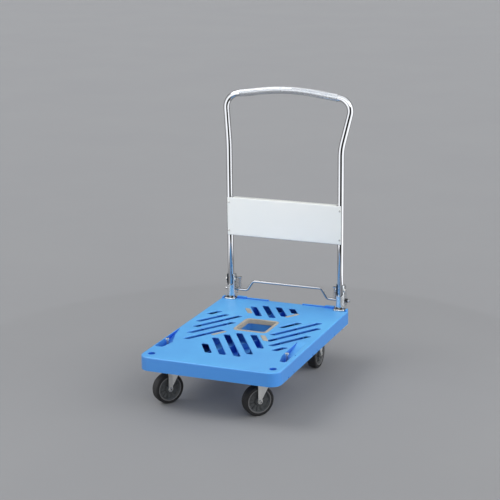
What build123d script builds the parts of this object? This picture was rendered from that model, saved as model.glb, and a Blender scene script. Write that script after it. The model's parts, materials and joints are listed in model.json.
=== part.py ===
"""Folding platform cart: moulded deck, folding tube handle, foot-released lock bar, four casters.

Millimetres, +Z up, +Y towards the handle, floor at Z = 0. The functions below place everything from the
middle of the deck; save() then moves it so that the origin is under the middle of the whole cart.
"""
from build123d import *
import math
import os

os.makedirs("parts", exist_ok=True)

# Deck
DECK_LENGTH = 700.0
DECK_WIDTH = 480.0
DECK_TOP = 180.0
DECK_DEPTH = 46.0
DECK_BOTTOM = DECK_TOP - DECK_DEPTH
FRONT_CORNER = 38.0
REAR_CORNER = 26.0
DECK_EDGE = 5.0
DECK_WALL = 4.5
DECK_SKIN = 4.0
DECK_CEILING = DECK_TOP - DECK_SKIN
RIB_THICK = 3.0
RIB_BOTTOM = DECK_BOTTOM + 6.0
FLOOR_THICK = 3.0
CORE_HOLE_R = 11.0
CORE_HOLE_MARGIN = 30.0
NOTCH_WIDTH = 5.0
NOTCH_HEIGHT = 7.0
NOTCH_Y = [-257.0, -207.0, -32.0, 16.0, 184.0]
REAR_LIPS = [((64, 182), (342, 349), 4.0), ((150, 184), (338, 349), 8.0), ((229.5, 236), (322, 340), 6.0)]

# Slots in the deck: leaning stripes, each given by where it would cross Y = 0 and its ends in Y
SLOT_LEAN = 32.0
SLOT_WIDTH = 21.0
SLOT_ROUND = 6.0
SLOT_DEPTH = 15.0
SLOT_MOUTH = 1.4
RIBS_LEANING_LEFT = [-265.0, -165.0, -65.0, 35.0, 100.0, 200.0, 300.0]
RIBS_LEANING_RIGHT = [-263.0, -162.0, -61.0, 60.0, 160.0, 262.0]
SLOTS_LEANING_LEFT = [
    (-190, -240, -157), (-140, -240, -90), (-90, -240, -47), (-40, -207, -20), (12, -142, -20),
    (75, 170, 268), (125, 168, 292), (175, 194, 292), (225, 238, 292),
]
SLOTS_LEANING_RIGHT = [
    (-290, 132, 178), (-237, 45, 152), (-187, -12, 152), (-137, -78, 80), (-84, -138, -8),
    (34, 78, 150), (86, -5, 172), (135, -68, 118), (186, -108, 30), (238, -148, -104),
]

# Hand hole, its rubber rim and the four grip strips around it
HOLE_Y = 68.0
HOLE_WIDTH = 104.0
HOLE_LENGTH = 114.0
HOLE_CORNER = 9.0
RIM_FLANGE = 10.0
RIM_COLLAR = 3.0
RIM_DEPTH = 14.0
RIM_PROUD = 1.0
INLAY_DEPTH = 2.0
FIT_GAP = 0.3
STRIP_PROUD = 0.8
STRIPS = [("left", 46, 213, 16), ("left", 46, -44, 16), ("right", -58, 213, 12), ("right", -58, -48, 12)]
STRIP_RUN = 48.0
STRIP_ROUND = 4.0

# Rope pockets, each with a steel pin and a ramp behind it, and the round corner holes
RAMP_BACK = -40.0
RAMP_FOOT = -140.0
RAMP_DROP = 18.0
POCKET_BACK = -158.0
POCKET_FRONT = -240.0
POCKET_FLOOR = DECK_TOP - 32.0
POCKET_ROUND = 9.0
POCKET_RIGHT = [
    (190, RAMP_BACK), (190, -182), (203, POCKET_FRONT), (224, POCKET_FRONT), (224, RAMP_BACK),
]
POCKET_LEFT = [
    (224, RAMP_BACK), (219, -108), (194, -185), (204, POCKET_FRONT), (234, POCKET_FRONT), (234, RAMP_BACK),
]
POCKET_BOX_X = (185.0, 236.0)
ROPE_PIN_X = 209.5
ROPE_PIN_Y = -190.0
ROPE_PIN_R = 4.0
ROPE_PIN_TOP = DECK_TOP + 13.0
RIM_HOLE = (229.5, -168.0)
RIM_HOLE_R = 2.2
CORNER_HOLE_R = 12.0
CORNER_HOLE_X = 209.0
CORNER_HOLE_Y = -309.0

# Handle: a bent tube with a clear grip sleeve and a sheet panel
TUBE_R = 11.0
TUBE_WALL = 1.5
HANDLE_X = 207.0
HANDLE_Y = 339.0
HANDLE_FOOT = 212.0
HANDLE_BEND_Z = 748.0
LOOP_X = 236.0
LOOP_LEAN = 43.0
LOOP_CORNER_Z = 910.0
LOOP_TOP_Z = 941.5
BEND_R = [150.0, 46.0, 700.0, 46.0, 150.0]
GRIP_X = 180.0
GRIP_R = 13.0
PANEL_X = 212.0
PANEL_LOW = 417.0
PANEL_HIGH = 554.0
PANEL_THICK = 1.2
PANEL_LIP = 20.0
PANEL_SCREW_Z = [433.0, 536.0]
SCREW_R = 2.0
SCREW_LENGTH = 10.0

# Handle brackets and pivot
PIVOT_Z = 250.0
PIVOT_R = 4.0
PIVOT_HEAD_R = 7.0
PIVOT_HEAD = 4.0
PIVOT_RIVET = 3.0
RUN_GAP = 0.05
CHEEK_IN = 11.8
CHEEK_OUT = 15.0
CHEEK_BACK = 27.0
CHEEK_TOP = 270.0
BAND_LOW = 191.0
BAND_HIGH = 231.0
FOOT_TOP = DECK_TOP + 4.0
FOOT_BOTTOM = DECK_TOP - 0.8
FOOT_X = 42.0
FOOT_Y = 34.0
FOOT_MIDDLE = (207.0, 333.0)
FOOT_CORNER = 9.0
BRACKET_BOLT_Y = [332.0, 343.0]
BRACKET_BOLT_R = 3.0
BRACKET_HEAD_R = 4.8
BRACKET_HEAD = 3.0
BRACKET_NUT = 5.0
BACKING_X = 40.0
BACKING_Y = 50.0
BACKING_MIDDLE_Y = 323.0
BACKING_THICK = 4.0
ROLL_R = 7.0

# Lock bar: a bent rod in upright slots of the brackets, pulled up by two springs
ROD_R = 4.5
ROD_Y = 358.0
ROD_Z = 208.0
ROD_END = 236.0
ROD_STEP = [(152.0, 208.0), (130.0, 243.0)]
ROD_BEND = 14.0
LOCK_TRAVEL = 14.0
TAB_X = 181.0
TAB_Z = 252.0
TAB_THICK = 2.5
TAB_R = 8.0
RING_R = 7.5
RING_THICK = 3.0
SPRING_R = 5.0
SPRING_WIRE = 0.7
SPRING_TURNS = 9

# Casters
WHEEL_R = 51.0
TYRE_IN = 41.0
TYRE_WIDTH = 31.0
TYRE_SHOULDER = 4.0
TYRE_CROWN = 1.0
HUB_HALF = 17.0
CASTER_X = 158.0
FRONT_CASTER_Y = -237.0
REAR_CASTER_Y = 223.0
TRAIL = 32.0
SWIVEL_TURN = {"left": -36.0, "right": -42.0}
PLATE_X = 64.0
PLATE_Y = 92.0
PLATE_THICK = 3.5
PLATE_BOTTOM = DECK_BOTTOM - PLATE_THICK
BOLT_X = 22.5
BOLT_Y = 38.0
BOLT_R = 4.0
BOLT_DEPTH = 28.0
FORK_IN = 17.6
FORK_THICK = 3.0
FORK_OUT = FORK_IN + FORK_THICK
LEG_HALF = 7.0
LEG_END_R = 8.0
RIGID_TOP_HALF = 26.0
WING_LOW = 58.0
WING_REACH = 29.0
WING_BEND = 18.0
AXLE_R = 4.0
AXLE_HEAD_R = 6.3
AXLE_HEAD = 3.4
SOCKET_R = 2.4
NUT_R = 6.8
NUT_THICK = 4.5
SLEEVE_R = 6.5
RACE_R = 27.0
RACE_BOTTOM = 124.0
CROWN_TOP = RACE_BOTTOM - FIT_GAP
CROWN_THICK = 3.7
KINGPIN_R = 6.0

FRAME_SHIFT = (HANDLE_Y + LOOP_LEAN + GRIP_R - DECK_LENGTH / 2) / 2

nodes = {}


def save(name, shape):
    """Keep a finished sub-part under its name, moved into the cart's frame."""
    nodes[name] = Pos(0, -FRAME_SHIFT, 0) * shape


def raised(sketch, low, high, centre=(0, 0)):
    """A plan outline made solid from Z = low to Z = high."""
    return extrude(Pos(*centre, low) * sketch, high - low, dir=(0, 0, 1))


def block(x, y, z):
    """A plain block between pairs of X, Y and Z."""
    size = (x[1] - x[0], y[1] - y[0], z[1] - z[0])
    return Pos((x[0] + x[1]) / 2, (y[0] + y[1]) / 2, (z[0] + z[1]) / 2) * Box(*size)


def post(radius, low, high, x=0.0, y=0.0):
    """An upright round bar."""
    return Pos(x, y, (low + high) / 2) * Cylinder(radius, high - low)


def bar_along_x(radius, x, y, z):
    """A round bar along X between the two values of x."""
    return Pos((x[0] + x[1]) / 2, y, z) * Rot(0, 90, 0) * Cylinder(radius, x[1] - x[0])


def side_profile(sketch, x):
    """A Y-Z outline (drawn in the plane's own X and Y) made solid between the two values of x."""
    return extrude(Plane.YZ.offset(x[0]) * sketch, x[1] - x[0], dir=(1, 0, 0))


def mirrored(shape):
    """The left-hand image of a right-hand shape."""
    return mirror(shape, Plane.YZ)


def both_sides(shape):
    """A right-hand shape together with its mirror image on the left."""
    return [shape, mirrored(shape)]


def fused(shapes):
    """All shapes joined."""
    return shapes[0] + shapes[1:]


def stripe(crossing, middle_y, run_y, width, leaning, corner):
    """A leaning stripe with level ends and rounded corners: its middle line crosses Y = 0 at X = crossing."""
    sign = -1.0 if leaning == "left" else 1.0
    turn = math.radians(SLOT_LEAN)
    half = width / math.cos(turn) / 2
    outline = []
    for end, side in ((-1, -1), (-1, 1), (1, 1), (1, -1)):
        y = middle_y + end * run_y / 2
        outline.append((crossing + sign * y * math.tan(turn) + side * half, y))
    return fillet(Polygon(*outline, align=None).vertices(), corner)


# ---------------------------------------------------------------- deck

def slot_cutters():
    """The drain slots, nine leaning left and ten leaning right, each with a bevelled mouth."""
    cutters = []
    for leaning, rows in (("left", SLOTS_LEANING_LEFT), ("right", SLOTS_LEANING_RIGHT)):
        for crossing, low, high in rows:
            middle, run = (low + high) / 2, high - low
            sketch = stripe(crossing, middle, run, SLOT_WIDTH, leaning, SLOT_ROUND)
            cutters.append(raised(sketch, DECK_TOP - SLOT_DEPTH, DECK_TOP + 1))
            mouth = stripe(crossing, middle, run + 2 * SLOT_MOUTH, SLOT_WIDTH + 2 * SLOT_MOUTH, leaning,
                           SLOT_ROUND + SLOT_MOUTH)
            cutters.append(extrude(Pos(0, 0, DECK_TOP) * mouth, SLOT_MOUTH, dir=(0, 0, -1), taper=45))
    return cutters


def lattice():
    """Ribs inside the deck, parallel to the slots both ways and running between them."""
    height = DECK_CEILING - RIB_BOTTOM
    ribs = []
    for turn, crossings in ((SLOT_LEAN, RIBS_LEANING_LEFT), (-SLOT_LEAN, RIBS_LEANING_RIGHT)):
        for crossing in crossings:
            rib = Rot(0, 0, turn) * Box(RIB_THICK, 2 * DECK_LENGTH, height)
            ribs.append(Pos(crossing, 0, RIB_BOTTOM + height / 2) * rib)
    return fused(ribs)


def core_holes():
    """A three-cornered drain hole in the deck's lower skin at the middle of each diamond of ribs."""
    slope = math.tan(math.radians(SLOT_LEAN))
    holes = []
    for low_a, high_a in zip(RIBS_LEANING_LEFT, RIBS_LEANING_LEFT[1:]):
        for low_b, high_b in zip(RIBS_LEANING_RIGHT, RIBS_LEANING_RIGHT[1:]):
            a, b = (low_a + high_a) / 2, (low_b + high_b) / 2
            x, y = (a + b) / 2, (a - b) / (2 * slope)
            if abs(x) < DECK_WIDTH / 2 - CORE_HOLE_MARGIN and abs(y) < DECK_LENGTH / 2 - CORE_HOLE_MARGIN:
                sketch = RegularPolygon(CORE_HOLE_R, 3, rotation=90)
                holes.append(raised(sketch, RIB_BOTTOM - 1, RIB_BOTTOM + FLOOR_THICK + 1, (x, y)))
    return holes


def pocket_cutter(outline):
    """A right-hand rope pocket cut to a plan outline: deep in front, rising by a ramp to the deck's top."""
    plan = Polygon(*outline, align=None)
    plan = fillet(plan.vertices().sort_by(Axis.Y)[:3], POCKET_ROUND)
    depth = Polygon(
        (RAMP_BACK, DECK_TOP + 2), (RAMP_BACK, DECK_TOP), (RAMP_FOOT, DECK_TOP - RAMP_DROP),
        (POCKET_BACK, POCKET_FLOOR), (POCKET_FRONT - 1, POCKET_FLOOR), (POCKET_FRONT - 1, DECK_TOP + 2),
        align=None,
    )
    return raised(plan, DECK_BOTTOM, DECK_TOP + 2) & side_profile(depth, POCKET_BOX_X)


def deck_outline(inset=0.0):
    """The deck in plan, with wider corners in front, or the same outline moved inwards."""
    plan = Rectangle(DECK_WIDTH - 2 * inset, DECK_LENGTH - 2 * inset)
    plan = fillet(plan.vertices().group_by(Axis.Y)[0], FRONT_CORNER - inset)
    return fillet(plan.vertices().group_by(Axis.Y)[-1], REAR_CORNER - inset)


def deck_bosses():
    """Solid parts inside the deck: round the hand hole, pockets, corner holes, brackets and screws."""
    sleeve = 2 * (RIM_COLLAR + FIT_GAP + DECK_WALL)
    hole_wall = RectangleRounded(HOLE_WIDTH + sleeve, HOLE_LENGTH + sleeve, HOLE_CORNER + DECK_WALL)
    pocket = block(POCKET_BOX_X, (POCKET_FRONT - 6, RAMP_BACK - 8), (DECK_BOTTOM + 4, DECK_CEILING))
    corner = post(CORNER_HOLE_R + 3, DECK_BOTTOM, DECK_CEILING, CORNER_HOLE_X, CORNER_HOLE_Y)
    bracket_block = block((HANDLE_X - 23, HANDLE_X + 23), (308, 347), (DECK_BOTTOM, DECK_CEILING))
    bosses = [raised(hole_wall, DECK_BOTTOM, DECK_CEILING, (0, HOLE_Y))]
    bosses += both_sides(pocket) + both_sides(corner) + both_sides(bracket_block)
    return bosses


def deck():
    outer = raised(deck_outline(), DECK_BOTTOM, DECK_TOP)
    outer = fillet(outer.edges().group_by(Axis.Z)[-1], DECK_EDGE)
    inner = raised(deck_outline(DECK_WALL), DECK_BOTTOM - 1, DECK_CEILING)
    skin = raised(Rectangle(DECK_WIDTH, DECK_LENGTH), RIB_BOTTOM, RIB_BOTTOM + FLOOR_THICK)
    webs = (lattice() + skin) & inner
    frames = []
    holes = []
    for y in (FRONT_CASTER_Y, REAR_CASTER_Y):
        frame = RectangleRounded(PLATE_X + 8, PLATE_Y + 8, 8)
        core = RectangleRounded(PLATE_X - 2, PLATE_Y - 2, 6)
        frames += both_sides(raised(frame, DECK_BOTTOM, DECK_CEILING, (CASTER_X, y)))
        holes += both_sides(raised(core, DECK_BOTTOM - 1, DECK_CEILING, (CASTER_X, y)))
    screw_posts = [post(BOLT_R + 6, DECK_BOTTOM, DECK_CEILING, x, y) for x, y in caster_bolt_places()]
    shell = (outer - inner) + webs - core_holes() + deck_bosses() + frames - holes
    return shell + screw_posts + rear_lips() - deck_cutters()


def rear_lips():
    """The raised lip along the rear edge, in two lengths, with taller ends beside the brackets."""
    lips = []
    for x, y, height in REAR_LIPS:
        lip = block(x, y, (DECK_CEILING, DECK_TOP + height))
        lips += both_sides(fillet(lip.edges().group_by(Axis.Z)[-1], 1.5))
    return lips


def deck_cutters():
    """Everything that is cut out of the deck."""
    through = (DECK_BOTTOM - 1, DECK_TOP + 1)
    inlay = (DECK_TOP - INLAY_DEPTH, DECK_TOP + 1)
    collar = 2 * (RIM_COLLAR + FIT_GAP)
    flange = 2 * (RIM_FLANGE + FIT_GAP)
    collar_plan = RectangleRounded(HOLE_WIDTH + collar, HOLE_LENGTH + collar, HOLE_CORNER + RIM_COLLAR)
    flange_plan = RectangleRounded(HOLE_WIDTH + flange, HOLE_LENGTH + flange, HOLE_CORNER + RIM_FLANGE)
    foot_plan = RectangleRounded(FOOT_X + 2 * FIT_GAP, FOOT_Y + 2 * FIT_GAP, FOOT_CORNER + FIT_GAP)
    cutters = [raised(collar_plan, *through, (0, HOLE_Y)), raised(flange_plan, *inlay, (0, HOLE_Y))]
    cutters += slot_cutters()
    for leaning, crossing, middle_y, width in STRIPS:
        run = STRIP_RUN + 2 * FIT_GAP
        sketch = stripe(crossing, middle_y, run, width + 2 * FIT_GAP, leaning, STRIP_ROUND)
        cutters.append(raised(sketch, *inlay))
    cutters += [pocket_cutter(POCKET_RIGHT), mirrored(pocket_cutter(POCKET_LEFT))]
    cutters += both_sides(post(ROPE_PIN_R, POCKET_FLOOR - 8, DECK_TOP, ROPE_PIN_X, ROPE_PIN_Y))
    cutters += both_sides(post(CORNER_HOLE_R, *through, CORNER_HOLE_X, CORNER_HOLE_Y))
    cutters += both_sides(raised(foot_plan, FOOT_BOTTOM, DECK_TOP + 1, FOOT_MIDDLE))
    cutters.append(post(RIM_HOLE_R, DECK_TOP - 6, DECK_TOP + 1, *RIM_HOLE))
    for x, y in caster_bolt_places():
        cutters.append(post(BOLT_R, DECK_BOTTOM - 1, DECK_BOTTOM + BOLT_DEPTH + 2, x, y))
    for y in BRACKET_BOLT_Y:
        cutters += both_sides(post(BRACKET_BOLT_R, *through, HANDLE_X, y))
    notch_x = (DECK_WIDTH / 2 - DECK_WALL - 1, DECK_WIDTH / 2 + 1)
    for y in NOTCH_Y:
        notch_y = (y - NOTCH_WIDTH / 2, y + NOTCH_WIDTH / 2)
        cutters += both_sides(block(notch_x, notch_y, (DECK_BOTTOM - 1, DECK_BOTTOM + NOTCH_HEIGHT)))
    return cutters


def hand_hole_rim():
    """The rubber rim of the hand hole: a flange on the deck and a collar down the hole."""
    flange_plan = RectangleRounded(
        HOLE_WIDTH + 2 * RIM_FLANGE, HOLE_LENGTH + 2 * RIM_FLANGE, HOLE_CORNER + RIM_FLANGE - FIT_GAP,
    )
    collar_plan = RectangleRounded(
        HOLE_WIDTH + 2 * RIM_COLLAR, HOLE_LENGTH + 2 * RIM_COLLAR, HOLE_CORNER + RIM_COLLAR - FIT_GAP,
    )
    opening_plan = RectangleRounded(HOLE_WIDTH, HOLE_LENGTH, HOLE_CORNER)
    middle = (0, HOLE_Y)
    flange = raised(flange_plan, DECK_TOP - INLAY_DEPTH, DECK_TOP + RIM_PROUD, middle)
    flange = fillet(flange.edges().group_by(Axis.Z)[-1], 0.8)
    collar = raised(collar_plan, DECK_TOP - RIM_DEPTH, DECK_TOP, middle)
    return flange + collar - raised(opening_plan, DECK_TOP - RIM_DEPTH - 1, DECK_TOP + 2, middle)


def grip_strips():
    """Four rubber strips let into the deck at the corners of the hand hole."""
    strips = []
    for leaning, crossing, middle_y, width in STRIPS:
        sketch = stripe(crossing, middle_y, STRIP_RUN, width, leaning, STRIP_ROUND)
        strip = raised(sketch, DECK_TOP - INLAY_DEPTH, DECK_TOP + STRIP_PROUD)
        strips.append(fillet(strip.edges().group_by(Axis.Z)[-1], 0.5))
    return Compound(strips)


def rope_pins():
    """A headed steel pin in each rope pocket."""
    pin = post(ROPE_PIN_R, POCKET_FLOOR - 8, ROPE_PIN_TOP - 1, ROPE_PIN_X, ROPE_PIN_Y)
    head = post(ROPE_PIN_R + 2, ROPE_PIN_TOP - 4, ROPE_PIN_TOP, ROPE_PIN_X, ROPE_PIN_Y)
    return Compound(both_sides(pin + fillet(head.edges().group_by(Axis.Z)[-1], 1.2)))


# ---------------------------------------------------------------- handle

def handle_path():
    """Middle line of the handle tube, from the left foot over the loop to the right foot."""
    loop_y = HANDLE_Y + LOOP_LEAN
    left = [
        (-HANDLE_X, HANDLE_Y, HANDLE_FOOT),
        (-HANDLE_X, HANDLE_Y, HANDLE_BEND_Z),
        (-LOOP_X, loop_y, LOOP_CORNER_Z),
    ]
    right = [(-x, y, z) for x, y, z in reversed(left)]
    return FilletPolyline(*left, (0, loop_y, LOOP_TOP_Z), *right, radius=BEND_R)


def swept(path, radius):
    """A round bar along a path."""
    return sweep((path ^ 0) * Circle(radius), path=path)


def panel_screw_places():
    return [(x, z) for x in (-HANDLE_X, HANDLE_X) for z in PANEL_SCREW_Z]


def handle_tube():
    path = handle_path()
    tube = swept(path, TUBE_R) - swept(path, TUBE_R - TUBE_WALL)
    for x in (-HANDLE_X, HANDLE_X):
        tube -= bar_along_x(PIVOT_R + RUN_GAP, (x - TUBE_R - 1, x + TUBE_R + 1), HANDLE_Y, PIVOT_Z)
    for x, z in panel_screw_places():
        tube -= Pos(x, HANDLE_Y - TUBE_R, z) * Rot(90, 0, 0) * Cylinder(SCREW_R, 2 * TUBE_WALL + 2)
    return tube


def tube_plugs():
    """Plastic plugs in the two lower ends of the tube."""
    plug_r = TUBE_R - TUBE_WALL
    plug = post(plug_r, HANDLE_FOOT + 1, HANDLE_FOOT + 14, HANDLE_X, HANDLE_Y)
    hollow = post(plug_r - 2, HANDLE_FOOT + 3, HANDLE_FOOT + 15, HANDLE_X, HANDLE_Y)
    return Compound(both_sides(plug - hollow))


def grip_sleeve():
    """The clear sleeve on the top of the loop."""
    loop_y = HANDLE_Y + LOOP_LEAN
    slope = (LOOP_TOP_Z - LOOP_CORNER_Z) / LOOP_X
    end_z = LOOP_TOP_Z - slope * GRIP_X
    points = [(-GRIP_X, loop_y, end_z), (0, loop_y, LOOP_TOP_Z), (GRIP_X, loop_y, end_z)]
    path = FilletPolyline(*points, radius=BEND_R[2])
    return swept(path, GRIP_R) - swept(path, TUBE_R + RUN_GAP)


def handle_panel():
    """A sheet across the front of the tube, with a lip turned back between the uprights at top and bottom."""
    front = HANDLE_Y - TUBE_R - PANEL_THICK
    bend = 3.0
    lip_back = front + PANEL_LIP
    section = Polygon(
        (front, PANEL_LOW), (front, PANEL_HIGH), (lip_back, PANEL_HIGH), (lip_back, PANEL_LOW), align=None,
    )
    section = fillet(section.vertices().group_by(Axis.X)[0], bend)
    hollow = Polygon(
        (front + PANEL_THICK, PANEL_LOW + PANEL_THICK), (front + PANEL_THICK, PANEL_HIGH - PANEL_THICK),
        (lip_back + 1, PANEL_HIGH - PANEL_THICK), (lip_back + 1, PANEL_LOW + PANEL_THICK), align=None,
    )
    hollow = fillet(hollow.vertices().group_by(Axis.X)[0], bend - PANEL_THICK)
    inside = HANDLE_X - TUBE_R - 4
    folded = side_profile(section, (-PANEL_X, PANEL_X)) - side_profile(hollow, (-PANEL_X - 1, PANEL_X + 1))
    for x in ((-PANEL_X - 1, -inside), (inside, PANEL_X + 1)):
        folded -= block(x, (front + PANEL_THICK, lip_back + 1), (PANEL_LOW - 1, PANEL_HIGH + 1))
    for x, z in panel_screw_places():
        folded -= Pos(x, front, z) * Rot(90, 0, 0) * Cylinder(SCREW_R, 4 * PANEL_THICK)
    return folded


def panel_screws():
    """Four pan-head screws through the panel into the tube."""
    front = HANDLE_Y - TUBE_R - PANEL_THICK
    head = Pos(0, 0, 1.1) * Cylinder(3.6, 2.2)
    head = fillet(head.edges().group_by(Axis.Z)[-1], 1.0)
    head -= Pos(0, 0, 2.0) * (Box(4.4, 0.9, 1.4) + Box(0.9, 4.4, 1.4))
    screw = head + Pos(0, 0, -SCREW_LENGTH / 2) * Cylinder(SCREW_R, SCREW_LENGTH)
    return Compound([Pos(x, front, z) * Rot(90, 0, 0) * screw for x, z in panel_screw_places()])


# ---------------------------------------------------------------- brackets, pivot and lock

def bracket():
    """Right-hand bracket: foot plate, two cheeks joined by a band in front, and a tab for the spring."""
    outline = Circle(CHEEK_OUT) + Pos(0, CHEEK_BACK / 2) * Rectangle(2 * CHEEK_OUT, CHEEK_BACK)
    hollow = Circle(CHEEK_IN) + Pos(0, CHEEK_BACK / 2 + 1) * Rectangle(2 * CHEEK_IN, CHEEK_BACK + 2)
    shell = raised(outline - hollow, FOOT_TOP, CHEEK_TOP, (HANDLE_X, HANDLE_Y))
    front = HANDLE_Y - CHEEK_OUT
    back = HANDLE_Y + CHEEK_BACK
    profile = Polygon(
        (front - 1, FOOT_TOP), (back, FOOT_TOP), (back, 222), (HANDLE_Y + 18, CHEEK_TOP - 8),
        (HANDLE_Y + 9, CHEEK_TOP), (HANDLE_Y - 8, CHEEK_TOP), (front - 1, CHEEK_TOP - 16), align=None,
    )
    profile = fillet(profile.vertices().sort_by(Axis.Y)[3:7], 4)
    shell = shell & side_profile(profile, (HANDLE_X - 20, HANDLE_X + 20))
    window = block((-CHEEK_IN, CHEEK_IN), (-CHEEK_OUT - 1, 0), (BAND_HIGH, CHEEK_TOP + 1))
    window = fillet(window.edges().filter_by(Axis.Y).group_by(Axis.Z)[0], 6.0)
    under = block((-CHEEK_IN, CHEEK_IN), (-CHEEK_OUT - 1, 0), (FOOT_TOP - 1, BAND_LOW))
    shell -= Pos(HANDLE_X, HANDLE_Y, 0) * window
    shell -= Pos(HANDLE_X, HANDLE_Y, 0) * under
    foot = raised(RectangleRounded(FOOT_X, FOOT_Y, FOOT_CORNER), FOOT_BOTTOM, FOOT_TOP, FOOT_MIDDLE)
    foot = fillet(foot.edges().group_by(Axis.Z)[-1], 1.5)
    tab = post(TAB_R, TAB_Z, TAB_Z + TAB_THICK, TAB_X, ROD_Y)
    tab += block((TAB_X, HANDLE_X - CHEEK_IN - 1), (ROD_Y - TAB_R, ROD_Y), (TAB_Z, TAB_Z + TAB_THICK))
    made = shell + foot + tab
    made -= bar_along_x(PIVOT_R, (HANDLE_X - 20, HANDLE_X + 20), HANDLE_Y, PIVOT_Z)
    rod_slot = Rot(0, 0, 90) * SlotCenterToCenter(LOCK_TRAVEL, 2 * (ROD_R + RUN_GAP))
    made -= side_profile(Pos(ROD_Y, ROD_Z - LOCK_TRAVEL / 2) * rod_slot, (HANDLE_X - 20, HANDLE_X + 20))
    for y in BRACKET_BOLT_Y:
        made -= post(BRACKET_BOLT_R, FOOT_BOTTOM - 1, FOOT_TOP + 1, HANDLE_X, y)
    return made


def bracket_bolts():
    """Two button-head bolts down through each bracket, the deck and the backing plate."""
    bolts = []
    end = DECK_BOTTOM - BACKING_THICK - BRACKET_NUT - 2
    for y in BRACKET_BOLT_Y:
        head = post(BRACKET_HEAD_R, FOOT_TOP, FOOT_TOP + BRACKET_HEAD, HANDLE_X, y)
        head = fillet(head.edges().group_by(Axis.Z)[-1], 1.4)
        bolts += both_sides(head + post(BRACKET_BOLT_R, end, FOOT_TOP, HANDLE_X, y))
    return Compound(bolts)


def bracket_nuts():
    """The nuts under the backing plates."""
    nuts = []
    high = DECK_BOTTOM - BACKING_THICK
    low = high - BRACKET_NUT
    for y in BRACKET_BOLT_Y:
        nut = raised(RegularPolygon(BRACKET_HEAD_R, 6, rotation=30), low, high, (HANDLE_X, y))
        nuts += both_sides(nut - post(BRACKET_BOLT_R, low - 1, high + 1, HANDLE_X, y))
    return Compound(nuts)


def backing_plate():
    """Right-hand plate under the deck that takes the bracket's bolts, with a rolled outer edge."""
    plan = RectangleRounded(BACKING_X, BACKING_Y, 6)
    plate = raised(plan, DECK_BOTTOM - BACKING_THICK, DECK_BOTTOM, (HANDLE_X + 1, BACKING_MIDDLE_Y))
    roll = Rot(90, 0, 0) * Cylinder(ROLL_R, BACKING_Y)
    roll = fillet(roll.edges(), 3)
    made = plate + Pos(HANDLE_X + BACKING_X / 2 - 1, BACKING_MIDDLE_Y, DECK_BOTTOM - ROLL_R - 1) * roll
    for y in BRACKET_BOLT_Y:
        made -= post(BRACKET_BOLT_R, DECK_BOTTOM - 20, DECK_BOTTOM + 1, HANDLE_X, y)
    return made


def pivot_pin():
    """Right-hand pivot: a headed pin through the bracket's cheeks and the tube, riveted inside."""
    outer_x = (HANDLE_X + CHEEK_OUT, HANDLE_X + CHEEK_OUT + PIVOT_HEAD)
    inner_x = (HANDLE_X - CHEEK_OUT - PIVOT_RIVET, HANDLE_X - CHEEK_OUT)
    shank = bar_along_x(PIVOT_R, (inner_x[0] + 0.5, outer_x[1] - 0.5), HANDLE_Y, PIVOT_Z)
    outer = bar_along_x(PIVOT_HEAD_R, outer_x, HANDLE_Y, PIVOT_Z)
    inner = bar_along_x(PIVOT_HEAD_R - 1, inner_x, HANDLE_Y, PIVOT_Z)
    outer = fillet(outer.edges().group_by(Axis.X)[-1], 2.5)
    inner = fillet(inner.edges().group_by(Axis.X)[0], 1.8)
    return shank + outer + inner


def lock_bar():
    """A bent rod: level ends in the brackets' slots and a raised middle to step on."""
    left = [(-ROD_END, ROD_Y, ROD_Z)] + [(-x, ROD_Y, z) for x, z in ROD_STEP]
    right = [(-x, y, z) for x, y, z in reversed(left)]
    return swept(FilletPolyline(*left, *right, radius=ROD_BEND), ROD_R)


def lock_bar_rings():
    """A push-on ring outside each bracket that keeps the rod centred."""
    low = HANDLE_X + CHEEK_OUT + 2
    ring = bar_along_x(RING_R, (low, low + RING_THICK), ROD_Y, ROD_Z)
    ring -= bar_along_x(ROD_R, (low - 1, low + RING_THICK + 1), ROD_Y, ROD_Z)
    return Compound(both_sides(ring))


def return_spring():
    """Right-hand coil spring between the bracket's tab and the rod."""
    low = ROD_Z + ROD_R + SPRING_WIRE + FIT_GAP
    high = TAB_Z - SPRING_WIRE - FIT_GAP
    helix = Helix(pitch=(high - low) / SPRING_TURNS, height=high - low, radius=SPRING_R)
    return Pos(TAB_X, ROD_Y, low) * sweep((helix ^ 0) * Circle(SPRING_WIRE), path=helix, is_frenet=True)


# ---------------------------------------------------------------- casters

def caster_bolt_places():
    """The four bolt places of all four casters, from the deck's middle."""
    return [
        (side * CASTER_X + bolt_x, y + bolt_y)
        for side in (-1, 1) for y in (FRONT_CASTER_Y, REAR_CASTER_Y)
        for bolt_x in (-BOLT_X, BOLT_X) for bolt_y in (-BOLT_Y, BOLT_Y)
    ]


def caster_bolts():
    """Sixteen hexagon screws up through the caster plates into the deck."""
    bolts = []
    for x, y in caster_bolt_places():
        head = raised(RegularPolygon(6.5, 6), PLATE_BOTTOM - 5, PLATE_BOTTOM, (x, y))
        bolts.append(head + post(BOLT_R, PLATE_BOTTOM, DECK_BOTTOM + BOLT_DEPTH, x, y))
    return Compound(bolts)


def top_plate():
    """A caster's mounting plate, centred on its own origin in X and Y."""
    plate = raised(RectangleRounded(PLATE_X, PLATE_Y, 8), PLATE_BOTTOM, DECK_BOTTOM)
    for x in (-BOLT_X, BOLT_X):
        for y in (-BOLT_Y, BOLT_Y):
            plate -= post(BOLT_R, PLATE_BOTTOM - 1, DECK_BOTTOM + 1, x, y)
    return plate


def with_axle_hole(leg, trail):
    """Both legs of a fork from its right-hand one, with the axle's hole through them."""
    legs = fused(both_sides(leg))
    return legs - bar_along_x(AXLE_R, (-FORK_OUT - 1, FORK_OUT + 1), -trail, WHEEL_R)


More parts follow.
